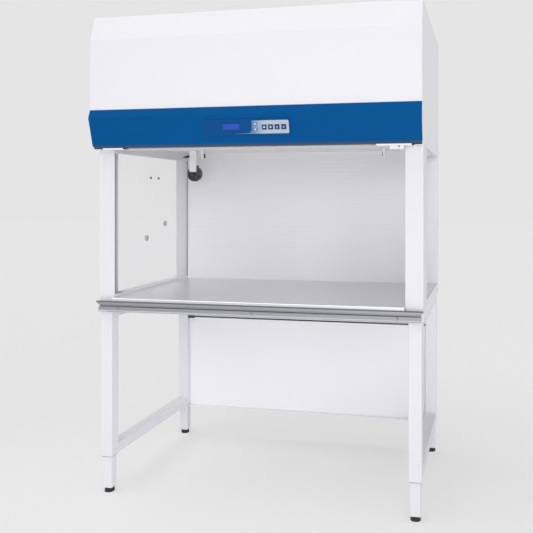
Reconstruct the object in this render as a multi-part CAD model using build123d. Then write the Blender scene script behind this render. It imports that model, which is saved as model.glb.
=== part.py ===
from build123d import *
import os
from math import cos, pi, radians, sin, sqrt

# Laminar flow hood on a telescoping stand. Millimetres, +Z up, X across the front, +Y to the back.
# The origin is on the floor under the middle of the overall outline.

# ---- driving dimensions ----
HALF_W = 670.0            # half of the overall width
BACK_Y = 416.0            # rear face
POST_Y = -339.0           # front face of the side posts and of the stand's front legs
HEAD_Y = -402.0           # front panel of the head
SHEET = 2.0               # cabinet sheet

STAND_HALF = 662.0        # outer faces of the stand
TUBE = 50.0               # square leg sleeve
TUBE_WALL = 2.0
LOW_RAIL_H = 40.0
TOP_RAIL_H = 30.0
SLEEVE_Z0 = 150.0         # lower end of the sleeves
CLAMP_Z = 225.0           # clamp screws of the legs
STAND_Z1 = 752.0          # top of the stand
LEG_REAR_Y = 362.0        # front face of the rear legs

INNER = 40.0              # square inner leg
INNER_WALL = 2.0
INNER_Z0 = 19.0
INNER_Z1 = 420.0
FOOT_R = 20.0
STEM_R = 6.0
RUN = 0.05                # running clearance, radial

BASE_Z1 = 780.0           # top of the base pan at the posts
SIDE_Z1 = 811.0           # top of the base pan beside the windows
RAIL_X = 661.0            # half length of the front rail's body
SCREW_X = (-574.0, 0.0, 574.0)
SCREW_Z = 765.5
TOP_Z = 808.0             # work surface
TRAY_X = 600.0            # half width of the work surface
NOSE_Y = -361.0           # front of the tray nose
NOSE_R = 6.0
WALL_Y = 341.0            # face of the back wall
TRAY_BACK = WALL_Y - 2.0
COVER_Y = 349.0           # front edges of the rear cover's sides
GROOVE_Z0 = 965.0         # first groove of the back wall
GROOVES = 24
GROOVE_PITCH = 20.0

POST_X = 669.0            # outer faces of the posts
POST_DEPTH = 139.0
WINDOW_X = 603.0          # inner face of the side windows
WINDOW_T = 6.0
WINDOW_Y = (-333.0, 341.0)
HOLE_YZ = ((-33.0, 1307.0), (40.0, 1307.0))
PLUG_YZ = ((-70.0, 1035.0), (103.0, 1094.0))

HEAD_Z0 = 1412.0          # underside of the head
CEILING_Z = 1442.0
CREASE_Z = 1851.0         # fold of the front panel
HEAD_Z1 = 1951.0
SLOPE_Y = -368.0          # top of the sloped front

FASCIA_TOP = (-404.0, 1569.0)
FASCIA_CREST = (-416.0, 1536.0)
FASCIA_FOOT = (-383.0, 1417.0)
FASCIA_T = 3.0
FASCIA_R = 14.0

PANEL_C = (-5.0, 1487.0)  # centre of the control panel, X and Z
PANEL_W = 352.0
PANEL_H = 64.0
KEY = 19.0
KEY_X = (73.6, 99.2, 124.9, 151.1)
ARROW_Y = (13.0, -8.0)
ARROW_X = 37.9
LCD = (-60.0, 3.5)

BLOWER_Y = 60.0
BLOWER_Z = 1772.0
FAN_R = 96.0              # outside of the blades
FAN_R0 = 80.0             # inside of the blades
FAN_HALF = 96.0
BLADES = 20

SENSOR_X = -491.0
SENSOR_Z = 1332.0
SENSOR_R = 36.5

os.makedirs("parts", exist_ok=True)


# ---- shape helpers ----
def slab(x0, x1, y0, y1, z0, z1):
    """A rectangular plate or bar between two corners."""
    return Pos((x0 + x1) / 2, (y0 + y1) / 2, (z0 + z1) / 2) * Box(x1 - x0, y1 - y0, z1 - z0)


def outline(points):
    return make_face(Polyline(*points, close=True))


def cornered(width, height, cut):
    """A rectangle with its corners taken off."""
    return chamfer(Rectangle(width, height).vertices(), cut)


def peg(radius, sides, z0, z1, taper=0):
    """A round piece drawn with flat sides, standing on end."""
    return extrude(Pos(0, 0, z0) * RegularPolygon(radius, sides), amount=z1 - z0, taper=taper)


def along_x(face, x0, x1):
    """A section drawn in Y and Z, run along X."""
    return extrude(Plane(origin=(x0, 0, 0), x_dir=(0, 1, 0), z_dir=(1, 0, 0)) * face, amount=x1 - x0)


def along_y(face, y0, y1):
    """A section drawn in X and Z, run along Y."""
    return extrude(Plane(origin=(0, y1, 0), x_dir=(1, 0, 0), z_dir=(0, -1, 0)) * face, amount=y1 - y0)


def along_z(face, z0, z1):
    """A section drawn in X and Y, run along Z."""
    return extrude(Pos(0, 0, z0) * face, amount=z1 - z0)


def folded(path, t):
    """The section of a folded sheet: the path is one side, the thickness lies to the path's left."""
    inner = []
    n = len(path)
    for i, (a, b) in enumerate(path):
        sides = []
        if i > 0:
            sides.append((a - path[i - 1][0], b - path[i - 1][1]))
        if i < n - 1:
            sides.append((path[i + 1][0] - a, path[i + 1][1] - b))
        normals = [(-v / sqrt(u * u + v * v), u / sqrt(u * u + v * v)) for u, v in sides]
        if len(normals) == 1:
            inner.append((a + normals[0][0] * t, b + normals[0][1] * t))
            continue
        (p, q), (r, s) = normals
        k = t / (1 + p * r + q * s)
        inner.append((a + (p + r) * k, b + (q + s) * k))
    return outline(path + inner[::-1])


def mirrored(shape):
    return mirror(shape, about=Plane.YZ)


def group(*shapes):
    return Compound([s for shape in shapes for s in shape.solids()])


def save(shape, name):
    export_step(shape, "parts/" + name + ".step")


# ---- stand: welded side frames ----
def square_tube(size, wall, cut, z0, z1):
    """A square tube standing on its end, its outer corners taken off."""
    return along_z(cornered(size, size, cut) - Rectangle(size - 2 * wall, size - 2 * wall), z0, z1)


def side_frame():
    """Two sleeves, a top rail and a lower rail, on the +X side."""
    x0 = STAND_HALF - TUBE
    xc = STAND_HALF - TUBE / 2
    frame = Part()
    for y0 in (POST_Y, LEG_REAR_Y):
        sleeve = square_tube(TUBE, TUBE_WALL, 1.5, SLEEVE_Z0, STAND_Z1)
        frame += Pos(xc, y0 + TUBE / 2, 0) * sleeve
        cap = slab(x0 + 1, x0 + TUBE - 1, y0 + 1, y0 + TUBE - 1, STAND_Z1 - 2, STAND_Z1)
        frame += cap
    for z, height in ((SLEEVE_Z0 + LOW_RAIL_H / 2, LOW_RAIL_H), (STAND_Z1 - TOP_RAIL_H / 2, TOP_RAIL_H)):
        rail = cornered(TUBE, height, 1.5)
        frame += along_y(Pos(xc, z) * rail, POST_Y + TUBE - 0.5, LEG_REAR_Y + 0.5)
    for y0 in (POST_Y, LEG_REAR_Y):
        frame -= Pos(xc, y0 + TUBE - 1, CLAMP_Z) * Rot(90, 0, 0) * peg(4.6, 10, -4, 4)
    return frame


right_frame = side_frame()
save(right_frame, "right_side_frame")
save(mirrored(right_frame), "left_side_frame")

# the clamp screw of each leg: hexagon head outside the sleeve, point just short of the inner leg
clamp = peg(7.5, 6, 0, 4.0) + peg(4.0, 10, -4.6, 0)
clamps = []
for sx in (-1, 1):
    for y0 in (POST_Y, LEG_REAR_Y):
        clamps.append(Pos(sx * (STAND_HALF - TUBE / 2), y0 + TUBE, CLAMP_Z) * Rot(-90, 0, 0) * clamp)
save(group(*clamps), "leg_clamp_screws")

# the guides: plastic collars pressed into the mouths of the sleeves
collar = along_z(cornered(48.0, 48.0, 1.5), -1.6, 0)
collar += along_z(Rectangle(TUBE - 2 * TUBE_WALL, TUBE - 2 * TUBE_WALL), 0, 34)
collar -= along_z(Rectangle(INNER + 2 * RUN, INNER + 2 * RUN), -2, 35)
guides = []
for sx in (-1, 1):
    for y0 in (POST_Y, LEG_REAR_Y):
        guides.append(Pos(sx * (STAND_HALF - TUBE / 2), y0 + TUBE / 2, SLEEVE_Z0) * collar)
save(group(*guides), "leg_guides")

# the inner legs: square tube with a threaded end plate for the levelling foot
inner_leg = square_tube(INNER, INNER_WALL, 1.5, INNER_Z0, INNER_Z1)
inner_leg += along_z(Rectangle(INNER - 3, INNER - 3), INNER_Z0, INNER_Z0 + 22)
inner_leg -= along_z(Circle(STEM_R + RUN), INNER_Z0 - 1, INNER_Z0 + 23)

# the levelling foot: a pad, a fluted grip and a stem, turned as one
foot = peg(FOOT_R, 24, 0, 4.5) + peg(FOOT_R, 24, 4.5, 7, 45)
flutes = []
for k in range(36):
    r = FOOT_R - (2.4 if k % 3 == 0 else 0.6)
    flutes.append((r * cos(2 * pi * k / 36), r * sin(2 * pi * k / 36)))
foot += along_z(outline(flutes), 7, 18.5)
foot += along_z(Circle(STEM_R), 18.5, 56)

for name, sx, y0 in (
    ("front_left", -1, POST_Y), ("front_right", 1, POST_Y),
    ("rear_left", -1, LEG_REAR_Y), ("rear_right", 1, LEG_REAR_Y),
):
    place = Pos(sx * (STAND_HALF - TUBE / 2), y0 + TUBE / 2, 0)
    save(place * inner_leg, "leg_" + name)
    save(place * foot, "foot_" + name)

# the crossbar between the rear legs and the panel that hangs below it
bar_x = STAND_HALF - TUBE
crossbar = along_x(Pos(387, 628) * cornered(30, 40, 1.5), -bar_x, bar_x)
save(crossbar, "rear_crossbar")
panel_path = [(372, 142), (400, 142), (400, 402), (390, 600), (378, 600)]
modesty = along_x(folded(panel_path, SHEET), -bar_x, bar_x)
save(modesty, "modesty_panel")
seal = slab(-bar_x, bar_x, 378, 392, 600, 608)
seal += slab(-bar_x, -bar_x + 32, 368, 378, 597, 608)
save(seal, "panel_edge_seal")


# ---- cabinet base ----
# the pan: floor and walls of folded sheet, raised beside the windows
pan = slab(-POST_X, POST_X, POST_Y + 2, BACK_Y, STAND_Z1, BASE_Z1)
pan += slab(-POST_X, POST_X, POST_Y + POST_DEPTH, COVER_Y, BASE_Z1, SIDE_Z1)
pan -= slab(-POST_X + 3, POST_X - 3, POST_Y + 5, BACK_Y - 3, STAND_Z1 + 3, SIDE_Z1 + 1)
save(pan, "base_pan")

# the front rail: a thin top flange that runs past the ends, an upper face, a deep shadow groove and a
# lower face with a rolled lip
flange = slab(-HALF_W, HALF_W, -361, POST_Y, 786.5, 790)
body = outline(
    [
        (-361, 787), (-361, 780.5), (-360, 779.5), (-350, 779), (-348, 777), (-348, 773.5), (-350, 772),
        (-356.5, 771.5), (-358, 770), (-358, 757.5), (-361, 754.5), (-361, 752.5), (-360, 751.5),
        (-341, 751.5), (-339, 753.5), (-339, 787),
    ]
)
rail = flange + along_x(body, -RAIL_X, RAIL_X)
for x in SCREW_X:
    rail -= Pos(x, -351, SCREW_Z) * Rot(90, 0, 0) * peg(2.6, 8, -8, 8)
save(rail, "front_rail")

screw = peg(2.4, 8, -8, 0) + peg(4.5, 12, 0, 2.2, 20)
screws = [Pos(x, -358, SCREW_Z) * Rot(90, 0, 0) * screw for x in SCREW_X]
screws.append(Pos(-266, -361, 785) * Rot(90, 0, 0) * peg(3.5, 12, 0, 0.8))
save(group(*screws), "rail_screws")

# the work surface: a tray with a rounded nose over the rail and deep edges that stand in the pan
tray_path = [(TRAY_BACK, STAND_Z1 + 3), (TRAY_BACK, TOP_Z)]
for k in range(5):
    turn = radians(90 + 22.5 * k)
    tray_path.append((NOSE_Y + NOSE_R + NOSE_R * cos(turn), TOP_Z - NOSE_R + NOSE_R * sin(turn)))
tray_path += [(NOSE_Y, 795.5), (-359.5, 794), (-350, 794), (-350, 790)]
tray = along_x(folded(tray_path, SHEET), -TRAY_X, TRAY_X)
for sx in (-1, 1):
    edge = sorted((sx * TRAY_X, sx * (TRAY_X - SHEET)))
    tray += slab(edge[0], edge[1], POST_Y + 6, TRAY_BACK, STAND_Z1 + 3, TOP_Z)
save(tray, "worktop_tray")


# ---- side walls ----
# the front post: a folded channel with a short return for the window and a deep outer flange
post_path = [(POST_X, POST_Y + POST_DEPTH), (POST_X, POST_Y), (601, POST_Y), (601, -333)]
post = along_z(folded(post_path[::-1], SHEET), BASE_Z1, HEAD_Z0)
save(post, "right_front_post")
save(mirrored(post), "left_front_post")

# the window: one pane with two small and two large service holes
y0, y1 = WINDOW_Y
pane = slab(WINDOW_X, WINDOW_X + WINDOW_T, y0, y1, 790, HEAD_Z0 - 1)
for y, z in HOLE_YZ:
    pane -= Pos(WINDOW_X + 3, y, z) * Rot(0, 90, 0) * peg(4.1, 16, -10, 10)
for y, z in PLUG_YZ:
    pane -= Pos(WINDOW_X + 3, y, z) * Rot(0, 90, 0) * peg(11.1, 24, -10, 10)
save(pane, "right_window")
save(mirrored(pane), "left_window")

# channels that hold the panes along the top and the work surface
top_rail = slab(600, WINDOW_X, y0, y1 - 2, 1400, HEAD_Z0)
low_rail = slab(600, WINDOW_X, y0, y1 - 2, 800, 819)
low_rail = chamfer(low_rail.edges().filter_by(Axis.Y).sort_by(Axis.Z)[-2:].sort_by(Axis.X)[0], 1.5)
rails = group(top_rail, low_rail)
save(group(rails, mirrored(rails)), "window_rails")

# dark strips that seal the pane at the post and in the rear corner
front_seal = slab(601.2, WINDOW_X, y0, y0 + 9, 819, 1400)
rear_seal = slab(600.5, WINDOW_X, y1 - 4, y1 - 2, 819, 1400)
seals = group(front_seal, rear_seal)
save(group(seals, mirrored(seals)), "window_seals")

# push-in plugs in the large holes and smaller ones in the small holes
plug = peg(10.95, 16, -5, 0) + peg(13.5, 24, 0, 2.8, 30)
stud = peg(3.95, 10, -5, 0) + peg(5.2, 16, 0, 1.2, 30)
plugs = [Pos(WINDOW_X, y, z) * Rot(0, -90, 0) * plug for y, z in PLUG_YZ]
plugs += [Pos(WINDOW_X, y, z) * Rot(0, -90, 0) * stud for y, z in HOLE_YZ]
save(group(*plugs, *[mirrored(p) for p in plugs]), "window_plugs")

# ---- back of the cabinet ----
# the back wall: level grooves pressed into it above the smooth lower panel
wall_points = [(WALL_Y + 2.5, 790), (WALL_Y + 2.5, CEILING_Z), (WALL_Y, CEILING_Z)]
for k in range(GROOVES - 1, -1, -1):
    z = GROOVE_Z0 + k * GROOVE_PITCH
    if z + 4 < CEILING_Z:
        wall_points += [(WALL_Y, z + 3), (WALL_Y + 0.8, z + 2.2), (WALL_Y + 0.8, z + 0.8), (WALL_Y, z)]
wall_points.append((WALL_Y, 790))
save(along_x(outline(wall_points), -612, 612), "back_wall")
save(slab(-TRAY_X, TRAY_X, WALL_Y - 2, WALL_Y, TOP_Z, 950), "back_lower_panel")

# the rear cover: full height, with side returns that form the rear posts
cover_path = [
    (-606, COVER_Y), (-POST_X, COVER_Y), (-POST_X, BACK_Y),
    (POST_X, BACK_Y), (POST_X, COVER_Y), (606, COVER_Y),
]
cover = along_z(folded(cover_path[::-1], SHEET), BASE_Z1, HEAD_Z0)
cover += slab(-POST_X, POST_X, BACK_Y - SHEET, BACK_Y, HEAD_Z0, HEAD_Z1 - SHEET)
cover -= slab(541, 589, BACK_Y - 5, BACK_Y + 1, 1462, 1492)
save(cover, "rear_cover")

inlet = along_y(Pos(565, 1477) * cornered(58, 36, 2), BACK_Y - 2 - 2.5, BACK_Y - 2)
inlet += along_y(Pos(565, 1477) * cornered(47.4, 29.4, 2), BACK_Y - 2, BACK_Y)
inlet += along_y(Pos(565, 1477) * Rectangle(44, 27), BACK_Y - 34, BACK_Y - 4.5)
inlet -= along_y(Pos(558, 1477) * cornered(27, 20, 5), BACK_Y - 22, BACK_Y + 1)
for dx, dz in ((-7, 0), (0, 4), (7, 0)):
    inlet += slab(558 + dx - 1, 558 + dx + 1, BACK_Y - 23, BACK_Y - 5, 1475 + dz - 2, 1475 + dz + 2)
save(inlet, "power_inlet")


# ---- head ----
def side_panel():
    """Outer sheet of the head on the +X side, turned in under the head and up to the ceiling."""
    flat = outline(
        [
            (-400, 1850), (-366, HEAD_Z1 - SHEET), (BACK_Y - 2, HEAD_Z1 - SHEET),
            (BACK_Y - 2, HEAD_Z0), (-376, HEAD_Z0), (-398, 1486),
        ]
    )
    sheet = along_x(flat, HALF_W - SHEET, HALF_W)
    turn = folded([(602, CEILING_Z + 4), (602, HEAD_Z0), (HALF_W - 1, HEAD_Z0)], SHEET)
    sheet += along_y(turn, -350, WALL_Y)
    sheet += slab(640, HALF_W - 1, -376, -350, HEAD_Z0, HEAD_Z0 + SHEET)
    sheet += slab(612, HALF_W - 1, WALL_Y, BACK_Y - 2, HEAD_Z0, HEAD_Z0 + SHEET)
    return sheet


head_side = side_panel()
save(head_side, "right_head_panel")
save(mirrored(head_side), "left_head_panel")

front_path = [(-338, HEAD_Z1), (SLOPE_Y, HEAD_Z1), (HEAD_Y, CREASE_Z), (HEAD_Y, FASCIA_TOP[1])]
front = along_x(folded(front_path, SHEET), -HALF_W, HALF_W)
front += slab(-HALF_W + SHEET, HALF_W - SHEET, HEAD_Y, -386, FASCIA_TOP[1], FASCIA_TOP[1] + SHEET)
save(front, "front_panel")

# the top: air slots in two banks, with the pre-filter against its underside
top = slab(-HALF_W, HALF_W, -338, BACK_Y, HEAD_Z1 - SHEET, HEAD_Z1)
slots = []
for i in range(12):
    for y in (-70, 130):
        slots.append(Pos(-440 + i * 80, y, HEAD_Z1 - 1) * Box(26, 150, 6))
top -= slots
save(top, "top_panel")
save(slab(-500, 500, -209, 269, 1927, HEAD_Z1 - SHEET), "prefilter")

# the deck that carries the blower, with the outlet opening and a turned-down front edge
deck = slab(-HALF_W + SHEET, HALF_W - SHEET, -396, BACK_Y - 4, 1618, 1621)
deck -= slab(-104, 104, BLOWER_Y + 8, BLOWER_Y + 146, 1610, 1630)
save(deck, "filter_deck")


def scroll_face(extra):
    pts = []
    steps = 18
    for k in range(steps + 1):
        a = radians(-90 - 270 * k / steps)
        r = FAN_R + 9 + 42 * k / steps + extra
        pts.append((BLOWER_Y + r * cos(a), BLOWER_Z + r * sin(a)))
    wall_y = pts[-1][0]
    z0 = 1621.0 if extra > 0.1 else 1619.0
    return outline(pts + [(BLOWER_Y + FAN_R + 9 + 42 + extra, z0), (BLOWER_Y + 8 - extra, z0)])


housing = along_x(scroll_face(2.0), -108, 108) - along_x(scroll_face(0.0), -106, 106)
for sx in (-1, 1):
    housing -= Pos(sx * 107, BLOWER_Y, BLOWER_Z) * Rot(0, 90, 0) * peg(FAN_R0 + 2, 32, -4, 4)
save(housing, "blower_housing")

# the impeller: a middle plate on a hub, forward-curved blades on both sides and a ring at each end
hub = peg(24, 24, -15, 15) + peg(FAN_R - 0.5, 48, -1.5, 1.5)
ring = along_z(RegularPolygon(FAN_R, 48) - RegularPolygon(FAN_R0, 48), 0, 3)
impeller = hub + Pos(0, 0, FAN_HALF - 3) * ring + Pos(0, 0, -FAN_HALF) * ring
blade_face = outline(
    [
        (FAN_R0 + 0.5, 0), (FAN_R0 + 9.5, 1.2), (FAN_R - 0.8, 7.0),
        (FAN_R - 1.6, 8.2), (FAN_R0 + 9.0, 2.6), (FAN_R0 + 0.5, 1.4),
    ]
)
blade = along_z(blade_face, -FAN_HALF + 1, FAN_HALF - 1)
impeller += [Rot(0, 0, 360 / BLADES * k) * blade for k in range(BLADES)]
impeller -= Cylinder(8 + RUN, 60)
save(Pos(0, BLOWER_Y, BLOWER_Z) * Rot(0, 90, 0) * impeller, "impeller")

# the motor: held in the left inlet by three arms, its shaft through the impeller's hub
motor = Pos(0, 0, -64.0) * Cylinder(44, 94) + Pos(0, 0, -1) * Cylinder(8, 46)
for k in range(3):
    motor += Rot(0, 0, 120 * k) * slab(30, FAN_R0 + 14, -8, 8, -111.0, -108.0)
save(Pos(0, BLOWER_Y, BLOWER_Z) * Rot(0, 90, 0) * motor, "blower_motor")

# the filter: a frame round a pleated pack, which stands on the turned-up edges of the side sheets
pleats = 42
pitch = 1176.0 / pleats
upper = [(-588 + pitch * k / 2, 1536 if k % 2 else 1520) for k in range(2 * pleats + 1)]
lower = [(-588 + pitch * k / 2, 1472 if k % 2 else 1456) for k in range(2 * pleats + 1)]
media = along_y(outline(upper + lower[::-1]), -318, 322)
frame = slab(-604, 604, -334, 338, CEILING_Z + 4, 1546) - slab(-588, 588, -318, 322, CEILING_Z, 1550)
save(frame + media, "hepa_filter")

# the ceiling below the filter: a sheet with a field of air openings
ceiling = slab(-602, 602, -298, WALL_Y, CEILING_Z, CEILING_Z + 2)
cells = []
for i in range(3):
    for j in range(12):
        cells.append(Pos(-386 + i * 386, -258 + j * 50, CEILING_Z + 1) * Box(360, 24, 8))
ceiling -= cells
save(ceiling, "diffuser")

# the front beam: an inverted channel that is the lamp's reflector
beam_path = [(-350, HEAD_Z0), (-350, CEILING_Z + 4), (-298, CEILING_Z + 4), (-298, HEAD_Z0)]
save(along_x(folded(beam_path, -SHEET), -602, 602), "front_beam")
tube = Cylinder(13, 1172) + peg(3.5, 12, -592, 592)
save(Pos(0, -324, 1428) * Rot(0, 90, 0) * tube, "lamp_tube")


def holder(x0, x1, y, z_top, width, drop, pin_z):
    """A tube holder: a block with a narrowed lower end, hung from z_top."""
    w = width / 2
    low = z_top - drop
    left_side = [(y - w, z_top), (y - w, low + w), (y - w / 2, low)]
    right_side = [(y + w / 2, low), (y + w, low + w), (y + w, z_top)]
    face = outline(left_side + right_side)
    block = along_x(face, x0, x1)
    block -= Pos((x0 + x1) / 2, y, pin_z) * Rot(0, 90, 0) * peg(3.9, 12, x0 - x1, x1 - x0)
    return block


near = holder(586, 598, -324, CEILING_Z + 2, 28, 29, 1428)
uv_right = holder(435, 447, 185, CEILING_Z, 30, 38, 1422)
uv_left = holder(-453, -441, 185, CEILING_Z, 30, 38, 1422)
save(group(near, mirrored(near), uv_right, uv_left), "lamp_holders")

# the box with the ballast and the blower's speed control
save(slab(380, 600, -330, -130, 1621, 1691), "electrics_box")


# ---- fascia and controls ----
(ty, tz), (cy, cz), (fy, fz) = FASCIA_TOP, FASCIA_CREST, FASCIA_FOOT
slope = sqrt((fy - cy) ** 2 + (cz - fz) ** 2)
face_out = (0, -(cz - fz) / slope, -(fy - cy) / slope)
panel_y = cy + (cz - PANEL_C[1]) * (fy - cy) / (cz - fz)
panel_plane = Plane(origin=(PANEL_C[0], panel_y, PANEL_C[1]), x_dir=(1, 0, 0), z_dir=face_out)

skin = along_x(folded([(ty, tz), (cy, cz), (fy, fz), (-352, fz)], FASCIA_T), -HALF_W, HALF_W)
skin += slab(-HALF_W + 4, HALF_W - 4, ty, -386, tz - 2, tz)
cap_face = outline([(ty, tz), (cy, cz), (fy, fz), (-378, fz), (-400, 1487), (-400.5, tz)])
for sx in (-1, 1):
    ends = sorted((sx * HALF_W, sx * (HALF_W - 4)))
    skin += along_x(cap_face, ends[0], ends[1])
front_shape = Pos(0, (tz + fz) / 2) * Rectangle(2 * HALF_W, tz - fz)
front_shape = fillet(front_shape.vertices().sort_by(Axis.Y)[:2], FASCIA_R)
fascia = skin & along_y(front_shape, -430, -340)
fascia -= panel_plane * along_z(Rectangle(PANEL_W - 24, PANEL_H - 18), -20, 10)
save(fascia, "fascia")


def key_holes(gap):
    """The openings for the four square keys and the two arrow keys."""
    face = Sketch()
    for x in KEY_X:
        face += Pos(x, 0) * Rectangle(KEY + gap, KEY + gap)
    for y in ARROW_Y:
        face += Pos(ARROW_X, y) * Rectangle(15 + gap, 9 + gap)
    return face


plate = along_z(RectangleRounded(PANEL_W, PANEL_H, 7), 0, 3)
plate -= along_z(key_holes(0.8), -1, 4)
plate -= along_z(Pos(*LCD) * Rectangle(67.4, 21.9), 1.5, 4)
save(panel_plane * plate, "control_panel")

over_edge = [
    (-46, -25), (168, -25), (171.5, -21.5), (171.5, 22.5), (168, 26), (25, 26),
    (23, -8), (20, -15), (15, -20), (8, -22.5), (-46, -24.2),
]
over_face = outline(over_edge) - key_holes(0.8)
save(panel_plane * along_z(over_face, 3, 3.8), "keypad_plate")

lens = along_z(Pos(*LCD) * Rectangle(67, 21.5), 1.5, 3.4)
save(panel_plane * lens, "display_window")

# each key: a cap that stands just proud, with a flange behind the panel
for name, x, y, w, h in (
    ("key_blower", KEY_X[0], 0, KEY, KEY), ("key_light", KEY_X[1], 0, KEY, KEY),
    ("key_uv", KEY_X[2], 0, KEY, KEY), ("key_menu", KEY_X[3], 0, KEY, KEY),
    ("key_up", ARROW_X, ARROW_Y[0], 15, 9), ("key_down", ARROW_X, ARROW_Y[1], 15, 9),
):
    cap = along_z(Pos(x, y) * cornered(w, h, 2.5), -1.6, 5.0)
    cap += along_z(Pos(x, y) * Rectangle(w + 2.4, h + 2.4), -1.6, -RUN)
    save(panel_plane * cap, name)

board = along_z(Pos(10, 0) * Rectangle(300, 44), -14, -12.4)
for x in (-110, 20, 135):
    board += along_z(Pos(x, -19) * Rectangle(5, 5), -12.4, 0)
for x, y in [(x, 0) for x in KEY_X] + [(ARROW_X, y) for y in ARROW_Y]:
    board += along_z(Pos(x, y) * Rectangle(6, 6), -12.4, -2.6)
save(panel_plane * board, "control_board")

# brackets under the head at the lower edge of the fascia, and the stop block beside the right post
bracket = folded([(-350, HEAD_Z0), (-386, HEAD_Z0), (-386, 1416.5)][::-1], -SHEET)
left_tab = along_x(bracket, -623, -534)
right_tab = along_x(bracket, 498, 630)
block = slab(548, 600, -384, -341, 1397, HEAD_Z0 - SHEET)
save(group(left_tab, right_tab + block), "fascia_tabs")

# ---- airflow sensor ----
arm = slab(-515, -480, 178, 181, 1342, CEILING_Z)
arm += slab(-515, -480, 178, 206, CEILING_Z - 2, CEILING_Z)
save(arm, "sensor_arm")
ring_face = RegularPolygon(SENSOR_R, 36) - RegularPolygon(SENSOR_R - 5, 36)
for turn in (180, 298):
    ring_face -= Rot(0, 0, turn) * Pos(SENSOR_R, 0) * Rectangle(7, 8)
ring_body = along_z(ring_face, 0, 16)
back_face = RegularPolygon(SENSOR_R - 4, 36)
ring_body += along_z(back_face, 0, 2.5)
ring_body += along_z(Circle(2.0), 0, 14)
ring_body += along_z(Pos(13, SENSOR_R) * Rectangle(7, 11), 0, 8)
sensor_place = Pos(SENSOR_X, 199, SENSOR_Z) * Rot(90, 0, 0)
save(sensor_place * Pos(0, 0, 2) * ring_body, "sensor_ring")
vane = peg(8, 24, 5, 13)
for k in range(6):
    blade = Pos(18, 0, 0) * Rot(32, 0, 0) * Box(23, 11.0, 1.0)
    vane += Pos(0, 0, 9) * Rot(0, 0, 60 * k) * blade
vane -= along_z(Circle(2.0 + RUN), 0, 20)
save(sensor_place * Pos(0, 0, 2) * vane, "sensor_vane")
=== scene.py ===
import math

import bmesh
import bpy
from mathutils import Matrix, Vector


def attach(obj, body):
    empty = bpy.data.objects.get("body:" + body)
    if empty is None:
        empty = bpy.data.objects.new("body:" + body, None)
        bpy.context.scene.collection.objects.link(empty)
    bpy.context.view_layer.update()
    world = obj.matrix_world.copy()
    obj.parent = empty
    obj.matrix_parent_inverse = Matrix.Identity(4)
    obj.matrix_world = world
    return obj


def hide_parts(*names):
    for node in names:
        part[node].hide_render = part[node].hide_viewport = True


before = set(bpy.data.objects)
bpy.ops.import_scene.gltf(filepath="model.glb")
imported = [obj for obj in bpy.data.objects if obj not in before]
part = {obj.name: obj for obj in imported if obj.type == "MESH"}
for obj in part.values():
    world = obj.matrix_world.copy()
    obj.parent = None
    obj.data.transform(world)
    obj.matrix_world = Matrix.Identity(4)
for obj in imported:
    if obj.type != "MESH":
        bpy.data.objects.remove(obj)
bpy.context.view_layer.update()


# ---- camera ----
# About two and a half metres in front of the bench, to the right of its middle and 1.2 m up. The lens
# looks level, so upright edges stay upright, and the frame is shifted onto the object.
bpy.ops.object.camera_add(location=(0.9045, -2.813, 1.2164), rotation=(math.radians(90), 0, 0.198))
camera = bpy.context.object
camera.data.sensor_width = 36
camera.data.lens = 44.71
camera.data.shift_x = -0.166
camera.data.shift_y = -0.129
camera.data.clip_end = 60
bpy.context.scene.camera = camera
bpy.context.scene.view_settings.view_transform = "Standard"


# ---- studio ----
# A pale floor that runs off into a pale backdrop, with a faint shadow. A weak sky lights the object all
# round, with soft lamps from the front, the right and above, a fill near the floor and a box behind the
# camera. Metal reflects the backdrop, the high lamp and the box, and none of the other lamps.
def linear(code):
    """An sRGB hex value as the linear colour that a shader takes."""
    parts = [int(code[i:i + 2], 16) / 255 for i in (1, 3, 5)]
    return (*[c / 12.92 if c <= 0.04045 else ((c + 0.055) / 1.055) ** 2.4 for c in parts], 1.0)


def add_node(owner, kind, sockets=None, **settings):
    """Adds a node to a material or world: settings on the node, numbers and links on its sockets."""
    made = owner.node_tree.nodes.new(kind)
    for name, value in settings.items():
        setattr(made, name, value)
    for name, value in (sockets or {}).items():
        if isinstance(value, bpy.types.NodeSocket):
            owner.node_tree.links.new(value, made.inputs[name])
        else:
            made.inputs[name].default_value = value
    return made


def seen_rays(owner):
    """One for what the camera sees straight, in a reflection or through glass, and nought for light."""
    paths = add_node(owner, "ShaderNodeLightPath")
    seen = add_node(
        owner, "ShaderNodeMath",
        {0: paths.outputs["Is Camera Ray"], 1: paths.outputs["Is Transmission Ray"]}, operation="MAXIMUM",
    )
    return add_node(
        owner, "ShaderNodeMath", {0: seen.outputs[0], 1: paths.outputs["Is Glossy Ray"]}, operation="MAXIMUM"
    )


world = bpy.data.worlds.new("studio")
bpy.context.scene.world = world
world.use_nodes = True
light = add_node(world, "ShaderNodeBackground", {"Color": (1.0, 1.0, 1.0, 1.0), "Strength": 0.3})
shown = add_node(world, "ShaderNodeBackground", {"Color": linear("#E5E5E5"), "Strength": 1.0})
both = add_node(
    world, "ShaderNodeMixShader", {0: seen_rays(world).outputs[0], 1: light.outputs[0], 2: shown.outputs[0]}
)
world.node_tree.links.new(both.outputs[0], world.node_tree.nodes["World Output"].inputs["Surface"])

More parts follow.
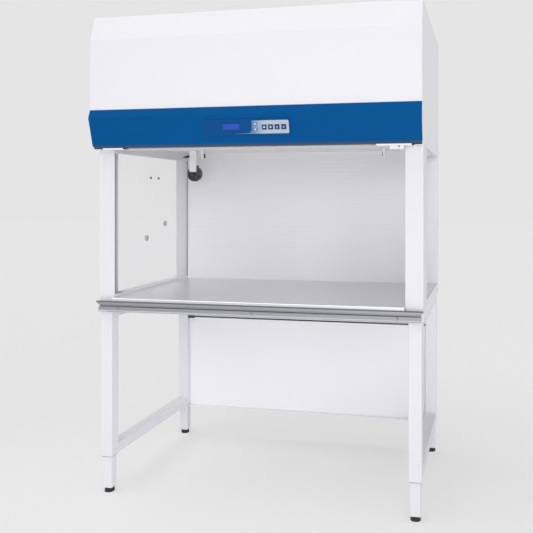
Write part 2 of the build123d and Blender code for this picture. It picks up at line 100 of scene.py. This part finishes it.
for name, strength, spread, turn in (
    ("front_lamp", 0.96, 40, (76, 0, 20)),
    ("side_lamp", 0.75, 50, (76, 0, 72)),
    ("high_lamp", 1.25, 60, (18, 0, -60)),
):
    bpy.ops.object.light_add(type="SUN", rotation=[math.radians(v) for v in turn])
    lamp = bpy.context.object
    lamp.name = name
    lamp.data.energy = strength
    lamp.data.angle = math.radians(spread)
    lamp.visible_glossy = name == "high_lamp"
bpy.ops.object.light_add(type="AREA", location=(0.2, -1.9, 0.05), rotation=(math.radians(150), 0, 0))
lamp = bpy.context.object
lamp.name = "low_fill"
lamp.data.shape = "RECTANGLE"
lamp.data.size = 2.6
lamp.data.size_y = 1.4
lamp.data.energy = 13
lamp.visible_glossy = False
bpy.ops.object.light_add(type="AREA", location=(0.7, -3.7, 1.1), rotation=(math.radians(90), 0, 0.1))
lamp = bpy.context.object
lamp.name = "front_box"
lamp.data.size = 2.0
lamp.data.energy = 11

bpy.ops.object.select_all(action="DESELECT")
bpy.ops.mesh.primitive_plane_add(size=60, location=(0, 0, 0))
floor = bpy.context.object
floor.name = "floor"
floor_paint = bpy.data.materials.new("studio_floor_paint")
floor_paint.use_nodes = True
shader = floor_paint.node_tree.nodes["Principled BSDF"]
shader.inputs["Base Color"].default_value = linear("#F4F4F4")
shader.inputs["Roughness"].default_value = 1.0
shader.inputs["Specular IOR Level"].default_value = 0.0
glow = add_node(floor_paint, "ShaderNodeEmission", {"Color": linear("#EDEDED"), "Strength": 1.0})
GLOW_SHARE = 0.5
faint = add_node(
    floor_paint, "ShaderNodeMixShader", {0: GLOW_SHARE, 1: shader.outputs[0], 2: glow.outputs[0]}
)
either = add_node(
    floor_paint, "ShaderNodeMixShader",
    {0: seen_rays(floor_paint).outputs[0], 1: shader.outputs[0], 2: faint.outputs[0]},
)
floor_paint.node_tree.links.new(
    either.outputs[0], floor_paint.node_tree.nodes["Material Output"].inputs["Surface"]
)
floor.data.materials.append(floor_paint)


# ---- stand ----
# Two side frames of welded square tube with a crossbar between the rear legs, powder coated in a white
# a little greyer than the cabinet's. The inner legs slide in them and have the same coat.
def new_material(name, colour, roughness, **sockets):
    """A material with one shader. A link made afterwards may take the place of a value given here."""
    material = bpy.data.materials.new(name)
    material.use_nodes = True
    shader = material.node_tree.nodes["Principled BSDF"]
    shader.inputs["Base Color"].default_value = linear(colour)
    shader.inputs["Roughness"].default_value = roughness
    for socket, value in sockets.items():
        shader.inputs[socket.replace("_", " ").title().replace("Ior", "IOR")].default_value = value
    return material, shader


def powder_coat(name, colour, shade, roughness):
    """Baked powder on steel: orange peel of about 1.5 mm, drawn at 4 mm so that it shows."""
    material, shader = new_material(name, colour, roughness, specular_ior_level=0.3)
    where = add_node(material, "ShaderNodeTexCoord")
    cloud = add_node(
        material, "ShaderNodeTexNoise", {"Vector": where.outputs["Object"], "Scale": 2.2, "Detail": 3.0}
    )
    tone = add_node(
        material, "ShaderNodeMix",
        {0: cloud.outputs["Fac"], 6: linear(colour), 7: linear(shade)}, data_type="RGBA",
    )
    material.node_tree.links.new(tone.outputs[2], shader.inputs["Base Color"])
    peel = add_node(
        material, "ShaderNodeTexNoise", {"Vector": where.outputs["Object"], "Scale": 250.0, "Detail": 2.0}
    )
    rough = add_node(
        material, "ShaderNodeMapRange",
        {"Value": peel.outputs["Fac"], "To Min": roughness - 0.05, "To Max": roughness + 0.07},
    )
    material.node_tree.links.new(rough.outputs[0], shader.inputs["Roughness"])
    bump = add_node(
        material, "ShaderNodeBump", {"Height": peel.outputs["Fac"], "Strength": 0.12, "Distance": 0.0004}
    )
    material.node_tree.links.new(bump.outputs[0], shader.inputs["Normal"])
    return material


def coat(material, *names):
    """Gives one finish to CAD nodes."""
    for name in names:
        part[name].data.materials.clear()
        part[name].data.materials.append(material)


grey_coat = powder_coat("grey_white_powder_coat", "#E4E4E8", "#E0E0E5", 0.5)
coat(
    grey_coat, "left_side_frame", "right_side_frame", "rear_crossbar", "leg_front_left", "leg_front_right",
    "leg_rear_left", "leg_rear_right",
)


# ---- collars, feet and clamp screws ----
# Black polypropylene collars guide the inner legs, and black feet screw into their lower ends.
# Zinc-plated hexagon screws behind each sleeve clamp the height.
def moulded(name, colour, roughness, grain):
    """Anything matt with a fine even grain, as moulded plastic has: about 1 mm, drawn at 2 mm."""
    material, shader = new_material(name, colour, roughness)
    where = add_node(material, "ShaderNodeTexCoord")
    grit = add_node(
        material, "ShaderNodeTexNoise", {"Vector": where.outputs["Object"], "Scale": 500.0, "Detail": 2.0}
    )
    bump = add_node(
        material, "ShaderNodeBump", {"Height": grit.outputs["Fac"], "Strength": grain, "Distance": 0.0003}
    )
    material.node_tree.links.new(bump.outputs[0], shader.inputs["Normal"])
    rough = add_node(
        material, "ShaderNodeMapRange",
        {"Value": grit.outputs["Fac"], "To Min": roughness - 0.06, "To Max": roughness + 0.06},
    )
    material.node_tree.links.new(rough.outputs[0], shader.inputs["Roughness"])
    return material


def uneven_gloss(material, shader, scale, low, high, detail=2.0):
    """Lets the roughness of metal, glass or film wander between two values."""
    where = add_node(material, "ShaderNodeTexCoord")
    patch = add_node(
        material, "ShaderNodeTexNoise", {"Vector": where.outputs["Object"], "Scale": scale, "Detail": detail}
    )
    rough = add_node(
        material, "ShaderNodeMapRange", {"Value": patch.outputs["Fac"], "To Min": low, "To Max": high}
    )
    material.node_tree.links.new(rough.outputs[0], shader.inputs["Roughness"])


black_moulding = moulded("black_polypropylene", "#232427", 0.5, 0.25)
coat(
    black_moulding, "leg_guides", "foot_front_left", "foot_front_right", "foot_rear_left", "foot_rear_right"
)
zinc, shader = new_material("zinc_plated_steel", "#D9DADC", 0.32, metallic=1.0)
uneven_gloss(zinc, shader, 90.0, 0.24, 0.44, 4.0)
coat(zinc, "leg_clamp_screws")


# ---- dark strip at the top edge of the modesty panel ----
# A black strip lies along the panel's top edge, under the crossbar, with a block at its left end. The strip
# is painted shade: a dark piece in the gap between panel and crossbar. It is moulded, with a matt face.
# Painted shade: the black of this strip stands for the shadow in the gap under the crossbar.
edge_shade_black = moulded("black_strip_painting_edge_shade", "#3A3B38", 0.7, 0.3)
coat(edge_shade_black, "panel_edge_seal")


# ---- cabinet sheet ----
# Steel sheet, folded and powder coated off-white: a matt skin with a fine orange peel that only shows
# where light grazes it. Base, rear cover and head are made of it, and the posts have the stand's coat.
white_coat = powder_coat("white_powder_coat", "#EAE9EE", "#E6E5EA", 0.42)
coat(
    white_coat, "base_pan", "rear_cover", "left_head_panel", "right_head_panel", "front_panel", "top_panel",
    "front_beam", "window_rails", "fascia_tabs",
)
coat(grey_coat, "left_front_post", "right_front_post")


# ---- front rail ----
# A roll-formed stainless profile under the front of the work surface. It is duller than the tray, and darker
# by a painted shade that stands for the darker room it reflects. Its lines run the whole length.
def brushed(name, colour, shade, roughness, along):
    """Stainless sheet with its grain along one axis: lines of 0.1 mm, drawn at more than 1 mm to show."""
    material, shader = new_material(name, colour, roughness, metallic=1.0, anisotropic=0.5)
    where = add_node(material, "ShaderNodeTexCoord")
    stretch = add_node(material, "ShaderNodeMapping", {"Vector": where.outputs["Object"], "Scale": along})
    grain = add_node(
        material, "ShaderNodeTexNoise",
        {"Vector": stretch.outputs[0], "Scale": 1.0, "Detail": 3.0, "Roughness": 0.6},
    )
    tone = add_node(
        material, "ShaderNodeMix",
        {0: grain.outputs["Fac"], 6: linear(colour), 7: linear(shade)}, data_type="RGBA",
    )
    material.node_tree.links.new(tone.outputs[2], shader.inputs["Base Color"])
    rough = add_node(
        material, "ShaderNodeMapRange",
        {"Value": grain.outputs["Fac"], "To Min": roughness - 0.08, "To Max": roughness + 0.1},
    )
    material.node_tree.links.new(rough.outputs[0], shader.inputs["Roughness"])
    bump = add_node(
        material, "ShaderNodeBump", {"Height": grain.outputs["Fac"], "Strength": 0.08, "Distance": 0.0003}
    )
    material.node_tree.links.new(bump.outputs[0], shader.inputs["Normal"])
    return material


# Painted shade: the rail's darker grey stands in for the dark surroundings that it reflects.
rolled_steel_painted_dark = brushed("rolled_stainless_steel_painted_shade", "#B4B5BA", "#A7A8AE", 0.38, (2.0, 700.0, 700.0))
coat(rolled_steel_painted_dark, "front_rail")


# ---- strip under the tray's nose ----
# A grey strip lies on the rail's flange below the nose of the tray: a dark piece that paints the shade of
# the joint there. It is extruded with a rounded front and cut flush with the ends of the flange.
def begin(primitive, **settings):
    """A primitive at its place, open in edit mode, with nothing else selected."""
    bpy.ops.object.select_all(action="DESELECT")
    primitive(**settings)
    bpy.ops.object.transform_apply(location=True, rotation=True, scale=True)
    bpy.ops.object.mode_set(mode="EDIT")
    return bpy.context.object


def choose(kind, test):
    """Selects the points, edges or faces of the open piece whose middle passes the test."""
    mesh = bmesh.from_edit_mesh(bpy.context.object.data)
    bpy.ops.mesh.select_all(action="DESELECT")
    bpy.ops.mesh.select_mode(type=kind)
    for item in {"VERT": mesh.verts, "EDGE": mesh.edges, "FACE": mesh.faces}[kind]:
        points = [item.co] if kind == "VERT" else [v.co for v in item.verts]
        item.select_set(bool(test(sum(points, Vector()) / len(points))))
    bmesh.update_edit_mesh(bpy.context.object.data)


def finish(piece, name, material, body="cabinet"):
    """Out of edit mode: the piece gets its name, its finish and the body that it rides on."""
    if piece.mode == "EDIT":
        bpy.ops.object.mode_set(mode="OBJECT")
    piece.name = name
    piece.data.name = name
    piece.data.materials.clear()
    piece.data.materials.append(material)
    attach(piece, body)
    return piece


# Painted shade: this grey strip darkens the joint under the tray's nose, which lies in shade.
nose_shade_grey = moulded("grey_strip_painting_nose_shade", "#6A6A72", 0.65, 0.2)
strip = begin(
    bpy.ops.mesh.primitive_cube_add, size=1, location=(0, -0.3561, 0.792), scale=(1.34, 0.0102, 0.0038)
)
choose("EDGE", lambda p: p.y < -0.361 and abs(p.x) < 0.1)
bpy.ops.mesh.bevel(offset=0.0015, segments=3)
finish(strip, "nose_shade_strip", nose_shade_grey)


# ---- rail screws ----
# Three pan-head screws with a cross recess in the rail's lower face, and a plain stud on its upper
# face. All are zinc plated and dulled.
def screw_head(radius, height):
    """A pan head standing on z = 0 with a cross cut into it, round the Z axis."""
    head = begin(
        bpy.ops.mesh.primitive_cylinder_add,
        vertices=28, radius=radius, depth=height, location=(0, 0, height / 2),
    )
    choose("EDGE", lambda p: p.z > height * 0.99)
    bpy.ops.mesh.bevel(offset=height * 0.45, segments=3)
    bpy.ops.object.mode_set(mode="OBJECT")
    for turn in (0, 90):
        cut = begin(
            bpy.ops.mesh.primitive_cube_add, size=1, location=(0, 0, height),
            scale=(radius * 1.15, radius * 0.3, height * 1.1), rotation=(0, 0, math.radians(turn)),
        )
        choose("FACE", lambda p: p.z < height * 0.6)
        bpy.ops.transform.resize(value=(0.55, 0.55, 1))
        bpy.ops.object.mode_set(mode="OBJECT")
        bpy.ops.object.select_all(action="DESELECT")
        head.select_set(True)
        bpy.context.view_layer.objects.active = head
        cross = head.modifiers.new("cross", "BOOLEAN")
        cross.object = cut
        cross.operation = "DIFFERENCE"
        bpy.ops.object.modifier_apply(modifier="cross")
        bpy.data.objects.remove(cut)
    return head


def placed_copy(piece, matrix):
    """Another of the same piece with its own mesh, moved by a matrix that goes into the mesh."""
    other = bpy.data.objects.new(piece.name, piece.data.copy())
    bpy.context.collection.objects.link(other)
    other.data.transform(matrix)
    return other


def joined(pieces):
    """Several like pieces as one."""
    bpy.ops.object.select_all(action="DESELECT")
    for piece in pieces:
        piece.select_set(True)
    bpy.context.view_layer.objects.active = pieces[0]
    bpy.ops.object.join()
    return bpy.context.object


SCREW_X = 0.574
SCREW_Z = 0.7655
RAIL_FACE_Y = -0.358
pattern_head = screw_head(0.0045, 0.0024)
faces_front = Matrix.Rotation(math.radians(90), 4, "X")
rail_heads = []
for x in (-SCREW_X, 0.0, SCREW_X):
    rail_heads.append(placed_copy(pattern_head, Matrix.Translation((x, RAIL_FACE_Y, SCREW_Z)) @ faces_front))
bpy.data.objects.remove(pattern_head)
stud = begin(
    bpy.ops.mesh.primitive_cylinder_add, vertices=24, radius=0.0035, depth=0.0008,
    location=(-0.266, -0.3614, 0.785), rotation=(math.radians(90), 0, 0),
)
choose("EDGE", lambda p: p.y < -0.3617)
bpy.ops.mesh.bevel(offset=0.0003, segments=2)
bpy.ops.object.mode_set(mode="OBJECT")
rail_screw_set = joined([*rail_heads, stud])
dull_zinc = moulded("dulled_zinc_plate", "#8B8B90", 0.4, 0.1)
finish(rail_screw_set, "rail_screw_heads", dull_zinc)
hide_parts("rail_screws")


# ---- work surface ----
# A tray of 304 stainless sheet with a brushed finish that runs along the bench, and its nose rolled
# over the rail. The grain softens what it reflects of the back wall.
tray_steel = brushed("brushed_stainless_steel", "#E4E4E7", "#DADADE", 0.32, (3.0, 900.0, 900.0))
coat(tray_steel, "worktop_tray")


# ---- side windows ----
# Toughened float glass, 6 mm, held in channels at the top and the work surface, with a glazing strip
# at each upright edge. The more it is seen edge on, the less it lets through.
pane, shader = new_material("toughened_float_glass", "#F3F2FA", 0.05, ior=1.52, alpha=0.2)
uneven_gloss(pane, shader, 6.0, 0.03, 0.09, 3.0)
pane_face = add_node(pane, "ShaderNodeLayerWeight", {"Blend": 0.5})
pane_cover = add_node(
    pane, "ShaderNodeMapRange",
    {"Value": pane_face.outputs["Facing"], "From Min": 0.6, "From Max": 0.95, "To Min": 0.1, "To Max": 0.7},
)
pane.node_tree.links.new(pane_cover.outputs[0], shader.inputs["Alpha"])
coat(pane, "left_window", "right_window")
glazing_strip = moulded("green_grey_glazing_strip", "#7C8B86", 0.35, 0.1)
coat(glazing_strip, "window_seals")


# ---- side sills ----
# A folded cover closes the base beside each window, flush with the side wall, and turns down along
# the glass. It is the same coated sheet as the cabinet, and reaches from the post to the back.
SILL_MIDDLE_Y = 0.0745
SILL_Z = 0.81
FOLD_X = 0.612
right_sill = begin(
    bpy.ops.mesh.primitive_cube_add, size=1, location=(0.6375, SILL_MIDDLE_Y, SILL_Z),
    scale=(0.054, 0.547, 0.0014),
)
bpy.ops.mesh.select_all(action="SELECT")
bpy.ops.mesh.bisect(plane_co=(FOLD_X, 0, 0), plane_no=(1, 0, 0))
choose("FACE", lambda p: 0.6106 < p.x < FOLD_X and p.z < SILL_Z - 0.0005)
bpy.ops.mesh.extrude_region_move(TRANSFORM_OT_translate={"value": (0, 0, -0.016)})
choose("EDGE", lambda p: p.z > SILL_Z + 0.0005 and (p.x < 0.611 or p.x > 0.664))
bpy.ops.mesh.bevel(offset=0.0006, segments=2)
bpy.ops.mesh.select_all(action="SELECT")
bpy.ops.mesh.normals_make_consistent(inside=False)
bpy.ops.object.mode_set(mode="OBJECT")
turned_about = Matrix.Translation((0, 2 * SILL_MIDDLE_Y, 0)) @ Matrix.Rotation(math.radians(180), 4, "Z")
left_sill = placed_copy(right_sill, turned_about)
finish(right_sill, "right_side_sill", white_coat)
finish(left_sill, "left_side_sill", white_coat)


# ---- service plugs ----
# Grey polyethylene plugs close the four large holes of the windows. The four small ones have black
# buttons on the inside.
plug_moulding = moulded("grey_polyethylene", "#B9BCC0", 0.45, 0.1)
coat(plug_moulding, "window_plugs")
button = begin(
    bpy.ops.mesh.primitive_cylinder_add, vertices=24, radius=0.0054, depth=0.0016, location=(0, 0, 0.0008)
)
choose("EDGE", lambda p: p.z > 0.0015)
bpy.ops.mesh.bevel(offset=0.0009, segments=3)
bpy.ops.object.mode_set(mode="OBJECT")
GLASS_INSIDE_X = 0.603
SMALL_HOLE_Y = (-0.033, 0.040)
SMALL_HOLE_Z = 1.307
buttons = []
for side in (-1, 1):
    towards_middle = Matrix.Rotation(math.radians(-90 * side), 4, "Y")
    for y in SMALL_HOLE_Y:
        hole = Matrix.Translation((side * GLASS_INSIDE_X, y, SMALL_HOLE_Z))
        buttons.append(placed_copy(button, hole @ towards_middle))
bpy.data.objects.remove(button)
finish(joined(buttons), "small_hole_buttons", black_moulding)


# ---- back of the cabinet ----
# The grooved back wall and the smooth lower panel have a whiter and silkier coat than the cabinet. The extra
# white is painted light for these shaded places. The folded modesty panel between the stand's rear legs,
# under the work surface, has the same coat.
wall_coat_painted_light = powder_coat("wall_powder_coat_painted_light", "#F6F6F9", "#F2F2F6", 0.38)
coat(wall_coat_painted_light, "back_wall", "back_lower_panel", "modesty_panel")


# ---- mains inlet ----
# A black moulded inlet set in the back of the head, with three nickel-plated blades in its well. The
# blades narrow towards their tips.
coat(black_moulding, "power_inlet")
nickel, shader = new_material("nickel_plated_brass", "#D6D2C8", 0.25, metallic=1.0)
uneven_gloss(nickel, shader, 400.0, 0.18, 0.34)
WELL_MIDDLE_Y = 0.4028
blades = []
for x, z in ((0.551, 1.475), (0.558, 1.479), (0.565, 1.475)):
    blade = begin(
        bpy.ops.mesh.primitive_cube_add,
        size=1, location=(x, WELL_MIDDLE_Y, z), scale=(0.0022, 0.0172, 0.0042),
    )
    choose("FACE", lambda p: p.y > WELL_MIDDLE_Y + 0.0082)
    bpy.ops.mesh.extrude_region_move(TRANSFORM_OT_translate={"value": (0, 0.0012, 0)})
    bpy.ops.transform.resize(value=(0.5, 1, 0.7))
    bpy.ops.object.mode_set(mode="OBJECT")
    blades.append(blade)
finish(joined(blades), "inlet_blades", nickel)


# ---- ceiling and lamp ----
# The slotted ceiling sheet is coated white. Under it at the front lies one fluorescent tube, opal
# inside its glass, with aluminium caps, in the near pair of white holders.
ceiling_coat = powder_coat("ceiling_powder_coat", "#F8F8F8", "#F4F4F5", 0.5)
coat(ceiling_coat, "diffuser")
white_moulding = moulded("white_polycarbonate", "#F8F8F8", 0.3, 0.05)
coat(white_moulding, "lamp_holders")
tube_glass, shader = new_material("phosphor_coated_tube", "#FBFAF6", 0.15, coat_weight=0.6)
phosphor = add_node(tube_glass, "ShaderNodeTexCoord")
powder = add_node(tube_glass, "ShaderNodeTexNoise", {"Vector": phosphor.outputs["Object"], "Scale": 60.0})
powder_tone = add_node(
    tube_glass, "ShaderNodeMix",
    {0: powder.outputs["Fac"], 6: linear("#FBFAF6"), 7: linear("#F4F3EF")}, data_type="RGBA",
)
tube_glass.node_tree.links.new(powder_tone.outputs[2], shader.inputs["Base Color"])
coat(tube_glass, "lamp_tube")
cap_metal, shader = new_material("drawn_aluminium", "#C9CBCE", 0.35, metallic=1.0)
uneven_gloss(cap_metal, shader, 300.0, 0.28, 0.45)
CAP_X = 0.5779
TUBE_Y = -0.324
TUBE_Z = 1.428
caps = []
for side in (-1, 1):
    cap = begin(
        bpy.ops.mesh.primitive_cylinder_add, vertices=32, radius=0.01335, depth=0.016,
        location=(side * CAP_X, TUBE_Y, TUBE_Z), rotation=(0, math.radians(90), 0),
    )
    choose("EDGE", lambda p: abs(p.x) > CAP_X + 0.0076)
    bpy.ops.mesh.bevel(offset=0.0018, segments=3)
    choose("FACE", lambda p: abs(p.x) < CAP_X - 0.0074)
    bpy.ops.mesh.inset(thickness=0.0006)
    bpy.ops.object.mode_set(mode="OBJECT")
    caps.append(cap)
finish(joined(caps), "tube_caps", cap_metal)


# ---- contacts of the rear lamp holders ----
# Each rear holder has no tube in it, so its dark contact bushes show: one above the other on the
# face that looks to the middle.
bush = begin(
    bpy.ops.mesh.primitive_cylinder_add, vertices=20, radius=0.0045, depth=0.005, location=(0.0015, 0, 0),
    rotation=(0, math.radians(90), 0),
)
choose("FACE", lambda p: p.x > 0.0039)
bpy.ops.mesh.inset(thickness=0.0012)
bpy.ops.mesh.extrude_region_move(TRANSFORM_OT_translate={"value": (-0.001, 0, 0)})
bpy.ops.object.mode_set(mode="OBJECT")
REAR_HOLDER_Y = 0.185
bushes = []
for x, turn in ((-0.4405, 0), (0.4345, 180)):
    for z in (1.4225, 1.4125):
        spot = Matrix.Translation((x, REAR_HOLDER_Y, z)) @ Matrix.Rotation(math.radians(turn), 4, "Z")
        bushes.append(placed_copy(bush, spot))
bpy.data.objects.remove(bush)
finish(joined(bushes), "holder_contacts", black_moulding)


# ---- airflow sensor ----
# A moulded white bar carries a dark grey housing, in which a small vane turns in the air stream. A
# black cap covers the vane's hub, and a black wedge clip sits beside the bar's upper end.
coat(white_moulding, "sensor_arm")
sensor_moulding = moulded("dark_grey_glass_filled_nylon", "#595C5B", 0.45, 0.3)
coat(sensor_moulding, "sensor_ring")
vane_moulding = moulded("grey_vane_nylon", "#626666", 0.4, 0.1)
coat(vane_moulding, "sensor_vane")
VANE_HUB = (-0.491, 0.1827, 1.332)
hub_cap = begin(
    bpy.ops.mesh.primitive_cylinder_add, vertices=24, radius=0.0068, depth=0.0024,
    location=VANE_HUB, rotation=(math.radians(90), 0, 0),
)
choose("EDGE", lambda p: p.y < 0.1816)
bpy.ops.mesh.bevel(offset=0.001, segments=3)
finish(hub_cap, "vane_hub_cap", black_moulding, "vane")
CLIP_X = -0.532
clip = begin(
    bpy.ops.mesh.primitive_cube_add, size=1, location=(CLIP_X, 0.1825, 1.4175), scale=(0.034, 0.012, 0.013)
)
choose("EDGE", lambda p: p.x < -0.548 and p.z > 1.4235)
bpy.ops.transform.translate(value=(0.004, 0, -0.009))
choose("EDGE", lambda p: p.z > 1.4235 and abs(p.x - CLIP_X) < 0.01)
bpy.ops.mesh.bevel(offset=0.0015, segments=2)
finish(clip, "lead_clip", black_moulding)


# ---- filters and blower ----
# Pleated glass-fibre paper in the filter, and a mat of the same pale fibre in the pre-filter. The
# deck, the housing, the wheel and the electrics box are of spangled galvanised sheet.
paper = moulded("glass_fibre_filter_paper", "#F0EFEA", 0.9, 0.6)
coat(paper, "hepa_filter", "prefilter")
galvanised, shader = new_material("galvanised_steel", "#B9BDC0", 0.4, metallic=1.0)
spangle_where = add_node(galvanised, "ShaderNodeTexCoord")
spangle = add_node(
    galvanised, "ShaderNodeTexVoronoi", {"Vector": spangle_where.outputs["Object"], "Scale": 110.0}
)
spangle_rough = add_node(
    galvanised, "ShaderNodeMapRange", {"Value": spangle.outputs["Color"], "To Min": 0.28, "To Max": 0.55}
)
galvanised.node_tree.links.new(spangle_rough.outputs[0], shader.inputs["Roughness"])
coat(galvanised, "filter_deck", "blower_housing", "impeller", "electrics_box")
coat(black_moulding, "blower_motor")


# ---- fascia ----
# A folded steel sheet in deep blue powder coat. Its upper facet leans back, and along the bend at its foot
# the blue passes into a grey that is painted shade. The stop block under its right end carries a small black
# buffer.
blue_coat = powder_coat("blue_powder_coat", "#005290", "#004E8B", 0.36)
shader = blue_coat.node_tree.nodes["Principled BSDF"]
shader.inputs["Specular IOR Level"].default_value = 0.06
blue_tone = shader.inputs["Base Color"].links[0].from_socket
# Painted shade: below these heights the blue turns grey towards the foot of the fascia, where the bend lies
# in shade.
LAST_UNSHADED_Z = 1.431
FULL_SHADE_Z = 1.4175
foot_where = add_node(blue_coat, "ShaderNodeTexCoord")
foot_height = add_node(blue_coat, "ShaderNodeSeparateXYZ", {0: foot_where.outputs["Object"]})
painted_shade_share = add_node(
    blue_coat, "ShaderNodeMapRange",
    {"Value": foot_height.outputs["Z"], "From Min": LAST_UNSHADED_Z, "From Max": FULL_SHADE_Z},
    interpolation_type="SMOOTHSTEP",
)
painted_foot_shade = add_node(
    blue_coat, "ShaderNodeMix",
    {0: painted_shade_share.outputs[0], 6: blue_tone, 7: linear("#4A515C")}, data_type="RGBA",
)
blue_coat.node_tree.links.new(painted_foot_shade.outputs[2], shader.inputs["Base Color"])
coat(blue_coat, "fascia")
buffer = begin(
    bpy.ops.mesh.primitive_cylinder_add, vertices=20, radius=0.0028, depth=0.003,
    location=(0.583, -0.3848, 1.4068), rotation=(math.radians(90), 0, 0),
)
choose("EDGE", lambda p: p.y < -0.386)
bpy.ops.mesh.bevel(offset=0.0008, segments=2)
finish(buffer, "stop_buffer", black_moulding)


# ---- control panel and overlay ----
# A moulded panel, a shade darker than the fascia, with a polyester overlay. The overlay is printed
# silver and fades to blue-grey towards its left edge. Behind it sits the circuit board.
panel_coat = moulded("blue_moulded_panel", "#074B87", 0.4, 0.1)
panel_coat.node_tree.nodes["Principled BSDF"].inputs["Specular IOR Level"].default_value = 0.1
coat(panel_coat, "control_panel")
silver_film, shader = new_material("silver_polyester_film", "#C2C8D4", 0.4, metallic=0.15)
film_where = add_node(silver_film, "ShaderNodeTexCoord")
film_across = add_node(silver_film, "ShaderNodeSeparateXYZ", {0: film_where.outputs["Object"]})
FADE_LEFT_X = 0.012
FADE_RIGHT_X = 0.075
film_fade = add_node(
    silver_film, "ShaderNodeMapRange",
    {"Value": film_across.outputs["X"], "From Min": FADE_LEFT_X, "From Max": FADE_RIGHT_X},
    interpolation_type="SMOOTHSTEP",
)
film_tone = add_node(
    silver_film, "ShaderNodeMix",
    {0: film_fade.outputs[0], 6: linear("#5C7EAC"), 7: linear("#B4BCCB")}, data_type="RGBA",
)
silver_film.node_tree.links.new(film_tone.outputs[2], shader.inputs["Base Color"])
uneven_gloss(silver_film, shader, 700.0, 0.34, 0.48)
coat(silver_film, "keypad_plate")
circuit_board = moulded("green_circuit_board", "#2F5A43", 0.5, 0.1)
coat(circuit_board, "control_board")


# ---- keys and their icons ----
# Dark blue silicone keys with a pale icon printed on each: a fan, a lamp, a ray lamp and a menu.
# The arrow keys match the overlay, so that only their white triangles show.
key_rubber = moulded("dark_blue_silicone_key", "#123A6E", 0.45, 0.1)
coat(key_rubber, "key_blower", "key_light", "key_uv", "key_menu")
arrow_rubber = moulded("blue_grey_silicone_key", "#6F8AB2", 0.45, 0.1)
coat(arrow_rubber, "key_up", "key_down")
icon_ink = moulded("white_printed_ink", "#E9EEF6", 0.5, 0.05)
PANEL_LEAN = math.atan2(0.033, 0.119)
PANEL_MIDDLE = (-0.005, -0.40241, 1.487)
KEY_FACE = 0.00502
panel_front = Matrix.Translation(PANEL_MIDDLE) @ Matrix.Rotation(math.radians(90) + PANEL_LEAN, 4, "X")


def icon(pieces, name, x, y, body):
    """Lays flat ink, drawn round the origin, on the face of a key."""
    ink = joined(pieces) if len(pieces) > 1 else pieces[0]
    ink.data.transform(panel_front @ Matrix.Translation((x, y, KEY_FACE)))
    return finish(ink, name, icon_ink, body)


def dot(radius, vertices, x=0.0, y=0.0, scale=(1, 1, 1)):
    """A flat piece of ink, 0.1 mm thick, with a narrow rim round its face."""
    ink = begin(
        bpy.ops.mesh.primitive_cylinder_add,
        vertices=vertices, radius=radius, depth=0.0001, location=(x, y, 0.00005), scale=scale,
    )
    choose("FACE", lambda p: p.z > 0.00009)
    bpy.ops.mesh.inset(thickness=radius * 0.08)
    bpy.ops.object.mode_set(mode="OBJECT")
    return ink


KEY_X = (0.0736, 0.0992, 0.1249, 0.1511)
fan = [dot(0.0013, 16)]
for k in range(3):
    turn = math.radians(120 * k + 90)
    fan.append(dot(0.0019, 16, 0.0031 * math.cos(turn), 0.0031 * math.sin(turn)))
icon(fan, "fan_icon", KEY_X[0], 0, "blower_key")
glowing_lamp = [dot(0.0029, 20)]
for k in range(8):
    turn = math.radians(45 * k)
    glowing_lamp.append(dot(0.0006, 8, 0.0043 * math.cos(turn), 0.0043 * math.sin(turn)))
icon(glowing_lamp, "lamp_icon", KEY_X[1], 0, "light_key")
ray_lamp = [dot(0.0021, 20), dot(0.0036, 4, 0, -0.0042, (1.1, 0.16, 1))]
icon(ray_lamp, "ray_lamp_icon", KEY_X[2], 0, "uv_key")
bars = [dot(0.0036, 4, 0, 0.0024 * k, (1.2, 0.17, 1)) for k in (-1, 0, 1)]
icon(bars, "menu_icon", KEY_X[3], 0, "menu_key")
ARROW_X = 0.0379
ARROW_RADIUS = 0.0042
icon([dot(ARROW_RADIUS, 3)], "up_icon", ARROW_X, 0.013, "up_key")
down = dot(ARROW_RADIUS, 3)
down.data.transform(Matrix.Rotation(math.radians(180), 4, "Z"))
icon([down], "down_icon", ARROW_X, -0.008, "down_key")


# ---- indicator lenses ----
# A small lens of pale plastic stands on the overlay above each square key. It is moulded, with its
# face rounded at the rim.
lens_plastic = moulded("clear_indicator_lens", "#DDE2EA", 0.25, 0.05)
lenses = []
for x in KEY_X:
    lens = begin(
        bpy.ops.mesh.primitive_cylinder_add,
        vertices=20, radius=0.0017, depth=0.0009, location=(x, 0.0135, 0.00425),
    )
    choose("EDGE", lambda p: p.z > 0.0046)
    bpy.ops.mesh.bevel(offset=0.0005, segments=3)
    bpy.ops.object.mode_set(mode="OBJECT")
    lenses.append(lens)
lens_row = joined(lenses)
lens_row.data.transform(panel_front)
finish(lens_row, "indicator_lenses", lens_plastic)


# ---- display ----
# A liquid crystal display behind a tinted window. It is violet blue and shows no figures, and its tone
# is slightly uneven.
lcd, shader = new_material("blue_liquid_crystal_window", "#2C50B0", 0.3, specular_ior_level=0.2)
lcd_where = add_node(lcd, "ShaderNodeTexCoord")
lcd_glow = add_node(
    lcd, "ShaderNodeTexNoise", {"Vector": lcd_where.outputs["Object"], "Scale": 30.0, "Detail": 1.0}
)
lcd_tone = add_node(
    lcd, "ShaderNodeMix",
    {0: lcd_glow.outputs["Fac"], 6: linear("#284CAE"), 7: linear("#3458B8")}, data_type="RGBA",
)
lcd.node_tree.links.new(lcd_tone.outputs[2], shader.inputs["Base Color"])
coat(lcd, "display_window")
